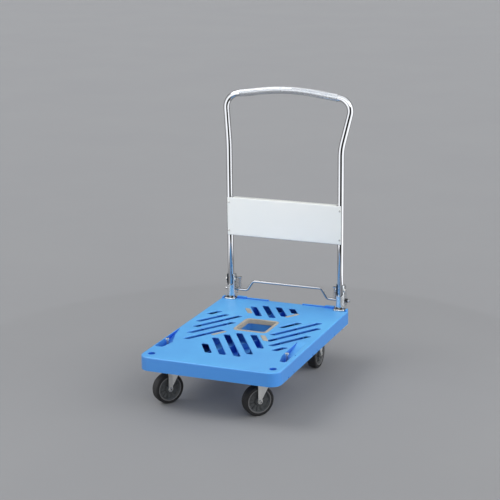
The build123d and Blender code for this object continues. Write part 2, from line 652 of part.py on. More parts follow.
def leg_plate(top_half, top_z, trail):
    """A right-hand side plate, as wide as 2 * top_half at the top, with a rounded end at the axle."""
    sides = Polygon(
        (-trail - top_half, top_z), (-trail + top_half, top_z), (-trail + LEG_HALF, WHEEL_R),
        (-trail - LEG_HALF, WHEEL_R), align=None,
    )
    return side_profile(sides + Pos(-trail, WHEEL_R) * Circle(LEG_END_R), (FORK_IN, FORK_OUT))


def leg_wing(top_z, trail):
    """The bent-out wing behind a swivel fork's right-hand leg, pointed at its lower end."""
    crease = -trail + LEG_HALF
    slope = Polygon((crease - 1, WING_LOW), (crease - 1, top_z), (crease + WING_REACH, top_z), align=None)
    sheet = block((0, FORK_THICK), (0, 2 * WING_REACH), (WING_LOW, top_z))
    bent = Pos(FORK_IN, crease, 0) * Rot(0, 0, -WING_BEND) * sheet
    return bent & side_profile(slope, (FORK_IN, FORK_IN + WING_REACH))


def swivel_plate():
    """Front caster: the mounting plate with its upper race."""
    race = post(RACE_R, RACE_BOTTOM, PLATE_BOTTOM)
    race = fillet(race.edges().group_by(Axis.Z)[0], 2)
    return top_plate() + race - post(KINGPIN_R, RACE_BOTTOM - 1, DECK_BOTTOM + 1)


def kingpin():
    """Front caster: the pin that the fork turns on, headed below the crown."""
    low = CROWN_TOP - CROWN_THICK - FIT_GAP
    head = post(11, low - 5, low)
    return post(KINGPIN_R, low, DECK_BOTTOM) + fillet(head.edges().group_by(Axis.Z)[0], 1.5)


def swivel_fork():
    """Front caster: the crown and its two legs, trailing behind the kingpin."""
    bottom = CROWN_TOP - CROWN_THICK
    heel = -TRAIL - LEG_HALF
    toe = heel + 2 * LEG_HALF + WING_REACH
    spread = FORK_OUT + WING_REACH * math.tan(math.radians(WING_BEND))
    shoulders = Polygon((-FORK_OUT, heel), (FORK_OUT, heel), (spread, toe), (-spread, toe), align=None)
    crown = raised(shoulders + Circle(RACE_R + 2), bottom, CROWN_TOP)
    crown = fillet(crown.edges().group_by(Axis.Z)[-1], 1.5)
    leg = leg_plate(LEG_HALF, bottom + 1, TRAIL) + leg_wing(bottom + 1, TRAIL)
    return crown + with_axle_hole(leg, TRAIL) - post(KINGPIN_R + RUN_GAP, bottom - 1, CROWN_TOP + 1)


def rigid_fork():
    """Rear caster: the mounting plate with two fixed legs."""
    return top_plate() + with_axle_hole(leg_plate(RIGID_TOP_HALF, PLATE_BOTTOM + 1, 0.0), 0.0)


def axle(trail):
    """Axle bolt with a domed socket head."""
    head = bar_along_x(AXLE_HEAD_R, (FORK_OUT, FORK_OUT + AXLE_HEAD), -trail, WHEEL_R)
    head = fillet(head.edges().group_by(Axis.X)[-1], AXLE_HEAD / 2)
    socket = extrude(RegularPolygon(SOCKET_R, 6), AXLE_HEAD)
    head -= Pos(FORK_OUT + 1, -trail, WHEEL_R) * Rot(0, 90, 0) * socket
    return head + bar_along_x(AXLE_R, (-FORK_OUT - 9, FORK_OUT), -trail, WHEEL_R)


def axle_nut(trail):
    """Lock nut: a hexagon with a round collar."""
    hexagon = extrude(RegularPolygon(NUT_R, 6), NUT_THICK)
    hexagon = Pos(-FORK_OUT, -trail, WHEEL_R) * Rot(0, -90, 0) * hexagon
    collar_end = -FORK_OUT - NUT_THICK - 2
    collar = bar_along_x(NUT_R - 1.3, (collar_end, collar_end + 3), -trail, WHEEL_R)
    return hexagon + collar - bar_along_x(AXLE_R, (-FORK_OUT - 10, -FORK_OUT + 1), -trail, WHEEL_R)


def axle_sleeve(trail):
    """Spacer tube between the fork's legs, on which the hub turns."""
    sleeve = bar_along_x(SLEEVE_R, (-FORK_IN, FORK_IN), -trail, WHEEL_R)
    return sleeve - bar_along_x(AXLE_R, (-FORK_IN - 1, FORK_IN + 1), -trail, WHEEL_R)


def turned(points, trail):
    """A ring turned about the axle from (distance along X, radius) points."""
    ring = revolve(Polygon(*points, align=None), Axis.X)
    return Pos(0, -trail, WHEEL_R) * ring


def wheel_hub(trail):
    """Plastic hub: long bore, thin web, and a raised lip beside the tyre on each face."""
    bore = SLEEVE_R + RUN_GAP
    half = TYRE_WIDTH / 2
    right = [
        (half - 3, TYRE_IN), (half - 3, 40.3), (half - 0.5, 40), (half - 0.5, 37.5), (half - 2.5, 36),
        (7, 32), (7.5, 14), (HUB_HALF, 12), (HUB_HALF, bore),
    ]
    left = [(-x, radius) for x, radius in reversed(right)]
    return turned(left + right, trail)


def tyre(trail):
    """Solid rubber tyre with a slightly crowned tread."""
    half = TYRE_WIDTH / 2
    edge = WHEEL_R - TYRE_CROWN
    sketch = Polygon((-half, TYRE_IN), (-half, edge), (0, WHEEL_R), (half, edge), (half, TYRE_IN), align=None)
    corners = [v for v in sketch.vertices() if abs(v.X) > 1 and v.Y > TYRE_IN + 1]
    ring = revolve(fillet(corners, TYRE_SHOULDER), Axis.X)
    return Pos(0, -trail, WHEEL_R) * ring


def save_caster(end, hand):
    """All sub-parts of one caster, in their own nodes."""
    name = f"{end}_{hand}"
    swivelling = end == "front"
    trail = TRAIL if swivelling else 0.0
    x = CASTER_X if hand == "right" else -CASTER_X
    y = FRONT_CASTER_Y if swivelling else REAR_CASTER_Y
    still = Pos(x, y, 0)
    place = still * Rot(0, 0, SWIVEL_TURN[hand]) if swivelling else still
    if swivelling:
        save(f"caster_plate_{name}", still * swivel_plate())
        save(f"kingpin_{name}", still * kingpin())
        save(f"fork_{name}", place * swivel_fork())
    else:
        save(f"fork_{name}", place * rigid_fork())
    for part_name, make in (("axle", axle), ("axle_nut", axle_nut), ("axle_sleeve", axle_sleeve),
                            ("wheel_hub", wheel_hub), ("tyre", tyre)):
        save(f"{part_name}_{name}", place * make(trail))


# ---------------------------------------------------------------- the whole cart

save("deck", deck())
save("hand_hole_rim", hand_hole_rim())
save("grip_strips", grip_strips())
save("rope_pins", rope_pins())
save("handle_tube", handle_tube())
save("tube_plugs", tube_plugs())
save("grip_sleeve", grip_sleeve())
save("handle_panel", handle_panel())
save("panel_screws", panel_screws())
for name, make in (("handle_bracket", bracket), ("backing_plate", backing_plate),
                   ("pivot_pin", pivot_pin), ("return_spring", return_spring)):
    right_part, left_part = both_sides(make())
    save(f"{name}_right", right_part)
    save(f"{name}_left", left_part)
save("bracket_bolts", bracket_bolts())
save("bracket_nuts", bracket_nuts())
save("lock_bar", lock_bar())
save("lock_bar_rings", lock_bar_rings())
for end in ("front", "rear"):
    for hand in ("left", "right"):
        save_caster(end, hand)
save("caster_bolts", caster_bolts())

for name, shape in nodes.items():
    export_step(shape, f"parts/{name}.step")
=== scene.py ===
"""Looks of the folding platform cart: materials, small fittings, studio and camera, in the frame's metres."""
import json
import math

import bmesh
import bpy
from mathutils import Matrix, Vector


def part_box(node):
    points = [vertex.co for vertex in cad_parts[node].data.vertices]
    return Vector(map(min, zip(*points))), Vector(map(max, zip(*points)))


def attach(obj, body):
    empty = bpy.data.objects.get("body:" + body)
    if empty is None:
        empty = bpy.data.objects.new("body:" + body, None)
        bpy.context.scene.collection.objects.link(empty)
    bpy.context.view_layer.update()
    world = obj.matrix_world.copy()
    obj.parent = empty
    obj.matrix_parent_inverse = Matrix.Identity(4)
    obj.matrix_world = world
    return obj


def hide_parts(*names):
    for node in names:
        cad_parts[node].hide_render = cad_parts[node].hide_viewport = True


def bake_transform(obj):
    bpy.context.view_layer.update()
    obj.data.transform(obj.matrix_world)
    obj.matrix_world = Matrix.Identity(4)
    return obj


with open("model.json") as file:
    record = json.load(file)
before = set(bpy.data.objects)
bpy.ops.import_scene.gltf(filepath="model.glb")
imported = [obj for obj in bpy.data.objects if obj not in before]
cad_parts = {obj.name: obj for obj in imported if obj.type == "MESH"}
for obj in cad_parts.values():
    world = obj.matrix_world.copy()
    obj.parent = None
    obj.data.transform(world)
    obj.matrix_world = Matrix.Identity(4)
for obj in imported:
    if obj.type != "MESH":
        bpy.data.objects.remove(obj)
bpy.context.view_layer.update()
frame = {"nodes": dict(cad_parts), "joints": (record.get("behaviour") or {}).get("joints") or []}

MM = 0.001
TURN = 2 * math.pi
SIDES = ["left", "right"]
CASTERS = ["front_left", "front_right", "rear_left", "rear_right"]


# ---------------------------------------------------------------- materials

GRAIN_DEPTH = 0.06 * MM      # height of the spark-eroded grain on moulded plastic
SLOT_SHADE_REACH = 30 * MM          # how far the deck's painted shade, a deeper blue, reaches into its hollows
CORNER_SHADE_REACH = 14 * MM        # how far painted shade reaches out of a corner in plated steel

def srgb(red, green, blue):
    """A colour given in 0 to 255 display values, as linear light."""
    def linear(value):
        value /= 255
        return value / 12.92 if value <= 0.04045 else ((value + 0.055) / 1.055) ** 2.4
    return (linear(red), linear(green), linear(blue), 1.0)


class Surface:
    """A node material in the making: its shader, and the textures that feed it."""

    def __init__(self, name, **values):
        self.material = bpy.data.materials.new(name)
        self.material.use_nodes = True
        self.tree = self.material.node_tree
        self.shader = self.tree.nodes["Principled BSDF"]
        for socket, value in values.items():
            self.shader.inputs[socket.replace("_", " ")].default_value = value
        self.place = self.node("ShaderNodeTexCoord").outputs["Object"]

    def node(self, kind, **settings):
        made = self.tree.nodes.new(kind)
        for key, value in settings.items():
            setattr(made, key, value)
        return made

    def feed(self, socket, value):
        if isinstance(value, bpy.types.NodeSocket):
            self.tree.links.new(value, socket)
        else:
            socket.default_value = value

    def stretched(self, scale, turn=(0, 0, 0)):
        """Object coordinates in metres, scaled along each axis."""
        mapping = self.node("ShaderNodeMapping")
        self.feed(mapping.inputs["Vector"], self.place)
        mapping.inputs["Rotation"].default_value = turn
        mapping.inputs["Scale"].default_value = scale
        return mapping.outputs["Vector"]

    def noise(self, scale, detail=3.0, rough=0.55, vector=None):
        """Cloudy noise, scale in waves per metre."""
        made = self.node("ShaderNodeTexNoise")
        self.feed(made.inputs["Vector"], vector or self.place)
        made.inputs["Scale"].default_value = scale
        made.inputs["Detail"].default_value = detail
        made.inputs["Roughness"].default_value = rough
        return made.outputs["Fac"]

    def cells(self, scale):
        """Distance from the middle of each random cell."""
        made = self.node("ShaderNodeTexVoronoi")
        self.feed(made.inputs["Vector"], self.place)
        made.inputs["Scale"].default_value = scale
        return made.outputs["Distance"]

    def spread(self, value, low, high, to_low=0.0, to_high=1.0):
        """value from low..high to to_low..to_high, clamped."""
        made = self.node("ShaderNodeMapRange")
        self.feed(made.inputs["Value"], value)
        for name, number in (("From Min", low), ("From Max", high), ("To Min", to_low), ("To Max", to_high)):
            made.inputs[name].default_value = number
        return made.outputs["Result"]

    def maths(self, operation, a, b=0.0):
        made = self.node("ShaderNodeMath", operation=operation)
        self.feed(made.inputs[0], a)
        self.feed(made.inputs[1], b)
        return made.outputs[0]

    def mixed(self, factor, a, b):
        """Colour a at a factor of 0, colour b at 1."""
        made = self.node("ShaderNodeMix", data_type="RGBA")
        self.feed(made.inputs["Factor"], factor)
        self.feed(made.inputs["A"], a)
        self.feed(made.inputs["B"], b)
        return made.outputs["Result"]

    def edges(self, radius):
        """1 along convex and concave edges, 0 on open faces."""
        bevel = self.node("ShaderNodeBevel", samples=4)
        bevel.inputs["Radius"].default_value = radius
        face = self.node("ShaderNodeNewGeometry").outputs["Normal"]
        dot = self.node("ShaderNodeVectorMath", operation="DOT_PRODUCT")
        self.feed(dot.inputs[0], bevel.outputs["Normal"])
        self.feed(dot.inputs[1], face)
        return self.spread(dot.outputs["Value"], 0.98, 0.8)

    def facing_up(self):
        """1 on level faces that look up, 0 on upright ones."""
        split = self.node("ShaderNodeSeparateXYZ")
        self.feed(split.inputs[0], self.node("ShaderNodeTexCoord").outputs["Normal"])
        return self.spread(split.outputs["Z"], 0.3, 0.9)

    def corners(self, distance, same_piece=True):
        """0 deep in a corner or groove, of this piece alone or with its neighbours, 1 in the open."""
        made = self.node("ShaderNodeAmbientOcclusion", samples=6, only_local=same_piece)
        made.inputs["Distance"].default_value = distance
        return made.outputs["AO"]

    def colour(self, value):
        self.feed(self.shader.inputs["Base Color"], value)

    def rough(self, value):
        self.feed(self.shader.inputs["Roughness"], value)

    def relief(self, *layers, soft=0.0):
        """Bump layers of (height 0..1, depth in metres), over edges softened by that radius."""
        normal = None
        if soft:
            bevel = self.node("ShaderNodeBevel", samples=4)
            bevel.inputs["Radius"].default_value = soft
            normal = bevel.outputs["Normal"]
        for height, depth in layers:
            bump = self.node("ShaderNodeBump")
            bump.inputs["Distance"].default_value = depth
            self.feed(bump.inputs["Height"], height)
            if normal is not None:
                self.feed(bump.inputs["Normal"], normal)
            normal = bump.outputs["Normal"]
        self.feed(self.shader.inputs["Normal"], normal)


def moulded_plastic(name, light, dark, edge, grain_scale, rough, soft):
    """Injection-moulded plastic: fine spark-eroded grain, slow colour drift, paler edges."""
    s = Surface(name, Specular_IOR_Level=0.45)
    drift = s.spread(s.noise(5.0, detail=4.0), 0.35, 0.65)
    base = s.mixed(drift, dark, light)
    base = s.mixed(s.maths("MULTIPLY", s.edges(1.2 * MM), 0.35), base, edge)
    fine = s.noise(grain_scale, detail=2.0, rough=0.6)
    pits = s.cells(grain_scale * 0.6)
    s.colour(base)
    s.rough(s.spread(fine, 0.3, 0.7, rough - 0.05, rough + 0.07))
    s.relief((fine, GRAIN_DEPTH), (pits, GRAIN_DEPTH * 0.6), soft=soft)
    return s.material


def deck_plastic(name, lit_top, side, deep, edge):
    """The deck's blue plastic: painted light, paler on its upper faces and darker on its sides as the light
    falls, and painted shade, a deeper blue, in its slots.
    """
    s = Surface(name, Specular_IOR_Level=0.42)
    drift = s.spread(s.noise(5.0, detail=4.0), 0.3, 0.7, 0.0, 0.5)
    # painted light: the paler colour on faces that look up, and the darker side colour, painted shade, on
    # upright faces
    base = s.mixed(s.facing_up(), side, s.mixed(drift, lit_top, side))
    base = s.mixed(s.maths("MULTIPLY", s.edges(1.4 * MM), 0.45), base, edge)
    rubbed = s.stretched((1.0, 0.12, 1.0), turn=(0, 0, 0.5))
    rubs = s.noise(22.0, detail=5.0, rough=0.7, vector=rubbed)
    rubs = s.maths("MULTIPLY", s.spread(rubs, 0.62, 0.72), 0.1)
    base = s.mixed(rubs, base, edge)
    # painted shade and bounced blue light: a deeper blue mixed into slots and hollows, where shade falls; the
    # same mask also raises the roughness there
    hollow = s.spread(s.corners(SLOT_SHADE_REACH), 0.8, 0.4)
    s.colour(s.mixed(hollow, base, deep))
    fine = s.noise(1500.0, detail=2.0, rough=0.6)
    worn = s.maths("ADD", s.spread(fine, 0.3, 0.7, 0.36, 0.46), s.maths("MULTIPLY", rubs, 0.25))
    s.rough(s.maths("ADD", worn, s.maths("MULTIPLY", hollow, 0.5)))
    s.relief((fine, GRAIN_DEPTH), (s.cells(900.0), 0.04 * MM), soft=0.7 * MM)
    return s.material


def chrome(name, tint, rough):
    """Bright chrome over drawn steel tube: a slow ripple, faint length-wise polish lines and smudges."""
    s = Surface(name, Metallic=1.0)
    duller = tuple(0.93 * channel for channel in tint[:3]) + (1.0,)
    s.colour(s.mixed(s.spread(s.noise(9.0), 0.4, 0.7), tint, duller))
    smudge = s.spread(s.noise(35.0, detail=4.0, rough=0.6), 0.5, 0.8, rough, rough + 0.09)
    s.rough(smudge)
    polish = s.noise(900.0, detail=1.0, rough=0.5, vector=s.stretched((1.0, 1.0, 0.03)))
    ripple = s.noise(14.0, detail=1.0)
    s.relief((ripple, 0.18 * MM), (polish, 0.006 * MM), soft=0.4 * MM)
    return s.material


def plated(name, light, dark, rough, spangle=260.0, soft=0.5 * MM, brush=None):
    """Zinc-plated pressed steel: cloudy plating, fine spangle, painted shade in corners and close beside
    other parts, bright worn edges.
    """
    s = Surface(name, Metallic=1.0)
    cloud = s.spread(s.noise(60.0, detail=4.0, rough=0.6), 0.3, 0.7)
    base = s.mixed(cloud, dark, light)
    flakes = s.spread(s.cells(spangle), 0.1, 0.6, 0.93, 1.04)
    base = s.mixed(0.6, base, s.mixed(flakes, dark, light))
    base = s.mixed(s.maths("MULTIPLY", s.edges(1.0 * MM), 0.5), base, (0.9, 0.9, 0.9, 1))
    # painted shade: near-black mixed into corners and close beside other parts, where shade falls
    shade = s.spread(s.corners(CORNER_SHADE_REACH, same_piece=False), 0.7, 0.3)
    s.colour(s.mixed(shade, base, (0.02, 0.02, 0.025, 1)))
    vector = s.stretched(brush) if brush else None
    lines = s.noise(700.0, detail=2.0, rough=0.6, vector=vector)
    s.rough(s.spread(lines, 0.3, 0.7, rough - 0.06, rough + 0.1))
    s.relief((lines, 0.03 * MM), (s.noise(90.0, detail=2.0), 0.08 * MM), soft=soft)
    return s.material


def rubber(name, light, dark, rough, grain_scale, dust):
    """Solid rubber: fine dull grain, a little dust in the hollows."""
    s = Surface(name, Specular_IOR_Level=0.35)
    base = s.mixed(s.spread(s.noise(40.0, detail=4.0, rough=0.65), 0.35, 0.7), dark, light)
    hollow = s.spread(s.corners(6 * MM), 0.9, 0.4, 0.0, 0.5)
    patch = s.spread(s.noise(120.0, detail=4.0, rough=0.7), 0.45, 0.75)
    s.colour(s.mixed(s.maths("MULTIPLY", hollow, patch), base, dust))
    fine = s.noise(grain_scale, rough=0.7)
    s.rough(s.spread(fine, 0.3, 0.7, rough - 0.06, rough + 0.08))
    s.relief((fine, 0.08 * MM), soft=0.6 * MM)
    return s.material


def painted_sheet(name, light, dark):
    """Pale silver paint on sheet steel: orange peel, tiny metal flake, soft drift."""
    s = Surface(name, Metallic=0.1, Specular_IOR_Level=0.5, Coat_Weight=0.35, Coat_Roughness=0.12)
    flake = s.spread(s.cells(2600.0), 0.1, 0.7)
    drift = s.spread(s.noise(4.0), 0.3, 0.7)
    base = s.mixed(drift, light, dark)
    base = s.mixed(s.maths("MULTIPLY", flake, 0.12), base, (0.95, 0.96, 0.97, 1))
    s.colour(base)
    peel = s.noise(420.0, detail=2.0, rough=0.5)
    s.rough(s.spread(peel, 0.3, 0.7, 0.3, 0.42))
    s.relief((peel, 0.04 * MM), soft=0.6 * MM)
    return s.material


def clear_vinyl(name):
    """Clear soft sleeve, slightly clouded, glossy."""
    s = Surface(name, Transmission_Weight=0.85, IOR=1.38, Coat_Weight=0.6, Coat_Roughness=0.04)
    haze = s.spread(s.noise(50.0, detail=4.0, rough=0.6), 0.35, 0.75)
    s.colour(s.mixed(haze, (0.95, 0.96, 0.97, 1), (0.86, 0.89, 0.92, 1)))
    s.rough(s.spread(haze, 0.0, 1.0, 0.06, 0.16))
    s.relief((s.noise(70.0, detail=2.0), 0.06 * MM))
    return s.material


# the deck's upper colour is painted light, its side colour painted shade, and its slot colour painted shade
# with bounced blue light
DECK_BLUE = deck_plastic(
    "deck_blue", lit_top=srgb(92, 176, 236), side=srgb(66, 138, 214),
    deep=srgb(2, 90, 208), edge=srgb(140, 196, 240))
RUBBER_GREY = rubber(
    "rim_grey", srgb(172, 168, 158), srgb(158, 153, 143),
    rough=0.6, grain_scale=1400.0, dust=srgb(120, 118, 112))
TYRE_BLACK = rubber(
    "tyre_black", srgb(36, 36, 38), srgb(26, 26, 28),
    rough=0.62, grain_scale=1700.0, dust=srgb(92, 88, 82))
CHROME = chrome("bright_chrome", (0.64, 0.65, 0.67, 1), rough=0.045)
ROD_CHROME = chrome("rod_chrome", (0.46, 0.47, 0.49, 1), rough=0.09)
BRACKET_ZINC = plated(
    "bracket_zinc", (0.80, 0.83, 0.85, 1), (0.68, 0.72, 0.76, 1), rough=0.2, brush=(1, 1, 0.05))
CASTER_ZINC = plated("caster_zinc", (0.92, 0.92, 0.89, 1), (0.82, 0.82, 0.80, 1), rough=0.34)
FASTENER_ZINC = plated(
    "fastener_zinc", (0.78, 0.78, 0.76, 1), (0.62, 0.62, 0.61, 1), rough=0.26, spangle=500.0, soft=0.3 * MM)
SPRING_STEEL = plated(
    "spring_steel", (0.66, 0.66, 0.68, 1), (0.5, 0.5, 0.53, 1), rough=0.25, spangle=700.0, soft=0.1 * MM)
HUB_GREY = moulded_plastic(
    "hub_grey", srgb(72, 75, 77), srgb(62, 65, 67), srgb(110, 112, 114),
    grain_scale=1100.0, rough=0.48, soft=0.5 * MM)
HUB_LIP = moulded_plastic(
    "hub_lip", srgb(112, 112, 114), srgb(96, 96, 98), srgb(140, 140, 142),
    grain_scale=1300.0, rough=0.45, soft=0.3 * MM)
BLACK_NYLON = moulded_plastic(
    "black_nylon", srgb(30, 30, 32), srgb(22, 22, 24), srgb(70, 70, 72),
    grain_scale=1300.0, rough=0.5, soft=0.4 * MM)
PANEL_PAINT = painted_sheet("panel_paint", srgb(240, 241, 238), srgb(234, 237, 235))
CLEAR_SLEEVE = clear_vinyl("clear_vinyl")

# the first start that a node's name has gives its material
FINISH = [
    ("deck", DECK_BLUE), ("hand_hole_rim", RUBBER_GREY), ("grip_strips", RUBBER_GREY),
    ("rope_pins", FASTENER_ZINC), ("handle_tube", CHROME), ("tube_plugs", BLACK_NYLON),
    ("grip_sleeve", CLEAR_SLEEVE), ("handle_panel", PANEL_PAINT), ("panel_screws", FASTENER_ZINC),
    ("handle_bracket", BRACKET_ZINC), ("backing_plate", CASTER_ZINC), ("pivot_pin", FASTENER_ZINC),
    ("return_spring", SPRING_STEEL), ("bracket_", FASTENER_ZINC), ("lock_bar_rings", BLACK_NYLON),
    ("lock_bar", ROD_CHROME), ("caster_plate", CASTER_ZINC), ("kingpin", FASTENER_ZINC),
    ("fork_", CASTER_ZINC), ("axle", FASTENER_ZINC), ("wheel_hub", HUB_GREY), ("tyre", TYRE_BLACK),
    ("caster_bolts", FASTENER_ZINC),
]


def dress(node, material):
    node.data.materials.clear()
    node.data.materials.append(material)


for node_name, node in frame["nodes"].items():
    dress(node, next(material for start, material in FINISH if node_name.startswith(start)))


# ---------------------------------------------------------------- pieces

SPRING_WIRE, SPRING_TURNS = 0.7 * MM, 13
COIL_STEPS, WIRE_SIDES = 18, 8
RING_POINTS, WHEEL_STEPS = 12, 96


def piece(name, shape, material, body):
    """A finished mesh object that moves with a body, or with none yet."""
    mesh = bpy.data.meshes.new(name)
    shape.normal_update()
    shape.to_mesh(mesh)
    shape.free()
    mesh.materials.append(material)
    made = bpy.data.objects.new(name, mesh)
    bpy.context.scene.collection.objects.link(made)
    for face in mesh.polygons:
        face.use_smooth = True
    if body:
        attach(made, body)
    return made


def wire_mesh(mesh, points, radius):
    """A round wire through points, capped at both ends, added to mesh."""
    rings = []
    normal = None
    for i, point in enumerate(points):
        along = points[min(i + 1, len(points) - 1)] - points[max(i - 1, 0)]
        along.normalize()
        if normal is None:
            normal = along.orthogonal().normalized()
        normal = (normal - along * normal.dot(along)).normalized()
        across = along.cross(normal)
        ring = []
        for k in range(WIRE_SIDES):
            angle = TURN * k / WIRE_SIDES
            outward = math.cos(angle) * normal + math.sin(angle) * across
            ring.append(mesh.verts.new(point + radius * outward))
        rings.append(ring)
    for low, high in zip(rings, rings[1:]):
        for k in range(WIRE_SIDES):
            j = (k + 1) % WIRE_SIDES
            mesh.faces.new((low[k], low[j], high[j], high[k]))
    mesh.faces.new(list(reversed(rings[0])))
    mesh.faces.new(rings[-1])


def revolved(mesh, profile, place):
    """A closed (distance along X, radius) outline turned about X, then moved by place."""
    rings = []
    for k in range(WHEEL_STEPS):
        c, s = math.cos(TURN * k / WHEEL_STEPS), math.sin(TURN * k / WHEEL_STEPS)
        rings.append([mesh.verts.new(place @ Vector((x, r * c, r * s))) for x, r in profile])
    for k in range(WHEEL_STEPS):
        here, there = rings[k], rings[(k + 1) % WHEEL_STEPS]
        for i in range(len(profile)):
            j = (i + 1) % len(profile)
            mesh.faces.new((here[i], here[j], there[j], there[i]))
    bmesh.ops.recalc_face_normals(mesh, faces=mesh.faces)


def spring(side):
    """A coiled tension spring from the bracket's tab down to the lock bar, which stretches it."""
    low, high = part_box(f"return_spring_{side}")
    middle = (low + high) / 2
    radius = (high.x - low.x) / 2 - SPRING_WIRE
    coil = []
    for k in range(SPRING_TURNS * COIL_STEPS + 1):
        share = k / (SPRING_TURNS * COIL_STEPS)
        angle = TURN * k / COIL_STEPS
        z = low.z + SPRING_WIRE + (high.z - low.z - 2 * SPRING_WIRE) * share
        coil.append(Vector((middle.x + radius * math.cos(angle), middle.y + radius * math.sin(angle), z)))
    mesh = bmesh.new()
    wire_mesh(mesh, coil, SPRING_WIRE)
    made = piece(f"spring_coil_{side}", mesh, SPRING_STEEL, None)
    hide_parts(f"return_spring_{side}")
    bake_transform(made)


def caster_place(caster):
    """Matrix of a wheel's centre with its own X along the axle, from the frame's joints."""
    joint = next(j for j in frame["joints"] if j["child"] == f"wheel_{caster}")
    axis = Vector(joint["axis"]).normalized()
    turn = Vector((1, 0, 0)).rotation_difference(axis).to_matrix().to_4x4()
    return Matrix.Translation(joint["pos_m"]) @ turn


def ring_profile(x, radius, half_x, half_r):
    """A small rounded ring section, centred at (x, radius)."""
    angles = [TURN * k / RING_POINTS for k in range(RING_POINTS)]
    return [(x + half_x * math.cos(angle), radius + half_r * math.sin(angle)) for angle in angles]


TYRE_LOW, TYRE_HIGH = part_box("tyre_rear_left")
HUB_LOW, HUB_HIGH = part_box("wheel_hub_rear_left")
WHEEL_R = (TYRE_HIGH.z - TYRE_LOW.z) / 2
TYRE_HALF = (TYRE_HIGH.x - TYRE_LOW.x) / 2
HUB_R = (HUB_HIGH.z - HUB_LOW.z) / 2
SPOKES, SPOKE_IN, SPOKE_OUT, SPOKE_FACE = 12, 13 * MM, HUB_R - 6.5 * MM, 8.6 * MM
SPOKE_DEEP, SPOKE_THICK, SPOKE_BEVEL = 3.2 * MM, 1.6 * MM, 0.35 * MM
# each ring section's place along the axle and from it, then its half width and half height
HUB_LIP_RING = (TYRE_HALF - 0.5 * MM, HUB_R - 2.0 * MM, 0.5 * MM, 1.2 * MM)
TYRE_BEAD_RING = (TYRE_HALF - 0.1 * MM, HUB_R + 2.6 * MM, 0.4 * MM, 0.6 * MM)
TREAD_SEAM_RING = (0, WHEEL_R - 0.2 * MM, 0.5 * MM, 0.16 * MM)


def spoke_rib(mesh, place, face, number):
    """One raised rib of the hub, on the side of the wheel that face gives."""
    turned = Matrix.Rotation(TURN * (number + 0.5) / SPOKES, 4, "X")
    middle = Matrix.Translation((face * SPOKE_FACE, 0, (SPOKE_IN + SPOKE_OUT) / 2))
    size = Matrix.Diagonal((SPOKE_DEEP, SPOKE_THICK, SPOKE_OUT - SPOKE_IN, 1))
    made = bmesh.ops.create_cube(mesh, size=1.0)["verts"]
    bmesh.ops.transform(mesh, matrix=place @ turned @ middle @ size, verts=made)


def wheel_details(caster):
    """The hub's lips and ribs and the tyre's beads and tread seam, on one wheel."""
    place = caster_place(caster)
    lips, ribs, beads = bmesh.new(), bmesh.new(), bmesh.new()
    for face in (-1, 1):
        for mesh, (x, radius, half_x, half_r) in ((lips, HUB_LIP_RING), (beads, TYRE_BEAD_RING)):
            revolved(mesh, ring_profile(face * x, radius, half_x, half_r), place)
        for number in range(SPOKES):
            spoke_rib(ribs, place, face, number)
    revolved(beads, ring_profile(*TREAD_SEAM_RING), place)
    bmesh.ops.bevel(ribs, geom=ribs.edges[:], offset=SPOKE_BEVEL, segments=2, affect="EDGES")
    piece(f"hub_lips_{caster}", lips, HUB_LIP, f"wheel_{caster}")
    piece(f"hub_spokes_{caster}", ribs, HUB_GREY, f"wheel_{caster}")
    piece(f"tyre_beads_{caster}", beads, TYRE_BLACK, f"wheel_{caster}")


for side_name in SIDES:
    spring(side_name)
for caster_name in CASTERS:
    wheel_details(caster_name)


# ---------------------------------------------------------------- studio

FLOOR_RADIUS, FLOOR_STEPS, FLOOR_GAP = 60.0, 96, 0.3 * MM
CAMERA_AZIMUTH, CAMERA_ELEVATION, CAMERA_ROLL = 22.53, 15.23, -0.68
CAMERA_PLACE = (1.731, -4.1755, 1.688)
FOCAL_PIXELS, IMAGE_PIXELS, SENSOR, CLIP_END = 1416.8, 500, 36.0, 200.0
RING_RADIUS, RING_HEIGHT, RING_STEPS, RING_FOOT = 1.15, 1.7, 96, 0.001
# each light's name, the direction it comes from, strength, width in degrees and colour
SUNS = [
    ("key_sun", (-0.62, -0.12, 0.85), 1.0, 34, (1.0, 0.99, 0.97)),
    ("front_fill", (0.2, -0.95, 0.22), 0.95, 80, (0.98, 0.99, 1.0)),
    ("right_fill", (0.97, -0.1, 0.2), 2.7, 95, (1, 1, 1)),
]
# the surroundings as they light the cart, as metal sees them, and as the camera does beyond the floor
LIGHT_ON_CART, SEEN_BY_METAL = (0.53, 0.535, 0.545, 1), (1.2, 1.22, 1.26, 1)
BACKDROP = (0.34, 0.345, 0.355, 1)
# position round the ring, where 0.5 is the camera's side and 0 and 1 meet behind the cart, and brightness
CARDS = [
    (0.00, 0.20), (0.10, 0.22), (0.17, 0.60), (0.25, 1.30), (0.33, 1.90), (0.40, 1.30), (0.44, 0.10),
    (0.47, 0.01), (0.61, 0.01), (0.66, 1.50), (0.78, 1.90), (0.83, 0.35), (0.90, 0.20), (1.00, 0.20),
]
CARD_TINT = (0.97, 0.98, 1.0)


def studio_floor():
    """A wide pale floor with a faint mottle."""
    mesh = bmesh.new()
    bmesh.ops.create_circle(mesh, cap_ends=True, radius=FLOOR_RADIUS, segments=FLOOR_STEPS)
    data = bpy.data.meshes.new("studio_floor")
    mesh.to_mesh(data)
    mesh.free()
    s = Surface("studio_paper", Specular_IOR_Level=0.1)
    s.colour(s.mixed(s.noise(1.5), srgb(144, 145, 148), srgb(149, 150, 152)))
    s.rough(s.spread(s.noise(400.0), 0.3, 0.7, 0.7, 0.8))
    data.materials.append(s.material)
    floor = bpy.data.objects.new("studio_floor", data)
    floor.location.z = -FLOOR_GAP
    bpy.context.scene.collection.objects.link(floor)


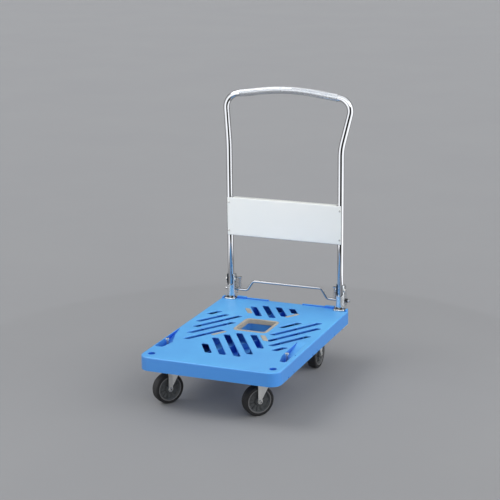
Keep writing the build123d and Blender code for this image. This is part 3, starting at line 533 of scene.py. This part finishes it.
def sun_light(name, towards, strength, spread, colour):
    """Even soft light from the direction towards, as wide as spread degrees."""
    light = bpy.data.lights.new(name, "SUN")
    light.energy = strength
    light.angle = math.radians(spread)
    light.color = colour
    lamp = bpy.data.objects.new(name, light)
    lamp.rotation_mode = "QUATERNION"
    lamp.rotation_quaternion = Vector(towards).to_track_quat("Z", "Y")
    bpy.context.scene.collection.objects.link(lamp)


def studio_world():
    """Even pale surroundings: brighter to metal than as they light the cart, and grey to the camera."""
    world = bpy.data.worlds.new("studio")
    bpy.context.scene.world = world
    world.use_nodes = True
    tree = world.node_tree
    path = tree.nodes.new("ShaderNodeLightPath")
    metal = tree.nodes.new("ShaderNodeMix")
    camera = tree.nodes.new("ShaderNodeMix")
    for mix, ray, shade in ((metal, "Is Glossy Ray", SEEN_BY_METAL), (camera, "Is Camera Ray", BACKDROP)):
        mix.data_type = "RGBA"
        tree.links.new(path.outputs[ray], mix.inputs["Factor"])
        mix.inputs["B"].default_value = shade
    metal.inputs["A"].default_value = LIGHT_ON_CART
    tree.links.new(metal.outputs["Result"], camera.inputs["A"])
    tree.links.new(camera.outputs["Result"], tree.nodes["Background"].inputs["Color"])


def card_glow():
    """Light that changes round the ring, brightness by brightness, from CARDS."""
    s = Surface("reflector_cards")
    split = s.node("ShaderNodeSeparateXYZ")
    s.feed(split.inputs[0], s.place)
    angle = s.maths("ARCTAN2", split.outputs["Y"], split.outputs["X"])
    turned = s.maths("SUBTRACT", angle, math.radians(CAMERA_AZIMUTH - 90))
    # half a turn puts the camera's side at 0.5, and the whole turn keeps the sum above 0
    share = s.maths("FRACT", s.maths("ADD", s.maths("DIVIDE", turned, TURN), 1.5))
    cards = s.node("ShaderNodeValToRGB")
    s.feed(cards.inputs[0], share)
    ramp = cards.color_ramp
    while len(ramp.elements) < len(CARDS):
        ramp.elements.new(0.5)
    for element, (position, brightness) in zip(ramp.elements, CARDS):
        element.position = position
        element.color = tuple(brightness * tint for tint in CARD_TINT) + (1,)
    glow = s.node("ShaderNodeEmission")
    s.feed(glow.inputs["Color"], cards.outputs["Color"])
    s.feed(s.tree.nodes["Material Output"].inputs["Surface"], glow.outputs["Emission"])
    return s.material


def reflector_ring():
    """Tall white and dark cards in a ring round the cart, which only reflections see."""
    mesh = bmesh.new()
    low, high = [], []
    for k in range(RING_STEPS):
        angle = TURN * k / RING_STEPS
        across = Vector((RING_RADIUS * math.cos(angle), RING_RADIUS * math.sin(angle), 0))
        low.append(mesh.verts.new(across + Vector((0, 0, RING_FOOT))))
        high.append(mesh.verts.new(across + Vector((0, 0, RING_HEIGHT))))
    for k in range(RING_STEPS):
        j = (k + 1) % RING_STEPS
        mesh.faces.new((low[k], low[j], high[j], high[k]))
    data = bpy.data.meshes.new("reflector_ring")
    mesh.to_mesh(data)
    mesh.free()
    data.materials.append(card_glow())
    ring = bpy.data.objects.new("reflector_ring", data)
    bpy.context.scene.collection.objects.link(ring)
    for ray in ("camera", "diffuse", "transmission", "volume_scatter", "shadow"):
        setattr(ring, f"visible_{ray}", False)


def studio_camera():
    """The camera at the photograph's angle, fitted to the cart's corners."""
    azimuth, elevation, roll = (math.radians(v) for v in (CAMERA_AZIMUTH, CAMERA_ELEVATION, CAMERA_ROLL))
    level = math.cos(elevation)
    back = Vector((math.sin(azimuth) * level, -math.cos(azimuth) * level, math.sin(elevation)))
    right = Vector((math.cos(azimuth), math.sin(azimuth), 0))
    up = back.cross(right)
    across = math.cos(roll) * right + math.sin(roll) * up
    upward = math.cos(roll) * up - math.sin(roll) * right
    data = bpy.data.cameras.new("studio_camera")
    data.sensor_width = SENSOR
    data.lens = FOCAL_PIXELS / IMAGE_PIXELS * SENSOR
    data.clip_end = CLIP_END
    camera = bpy.data.objects.new("studio_camera", data)
    camera.rotation_mode = "QUATERNION"
    camera.rotation_quaternion = Matrix((across, upward, back)).transposed().to_quaternion()
    camera.location = CAMERA_PLACE
    bpy.context.scene.collection.objects.link(camera)
    bpy.context.scene.camera = camera


studio_floor()
for sun in SUNS:
    sun_light(*sun)
studio_world()
reflector_ring()
studio_camera()
bpy.context.scene.view_settings.view_transform = "Standard"
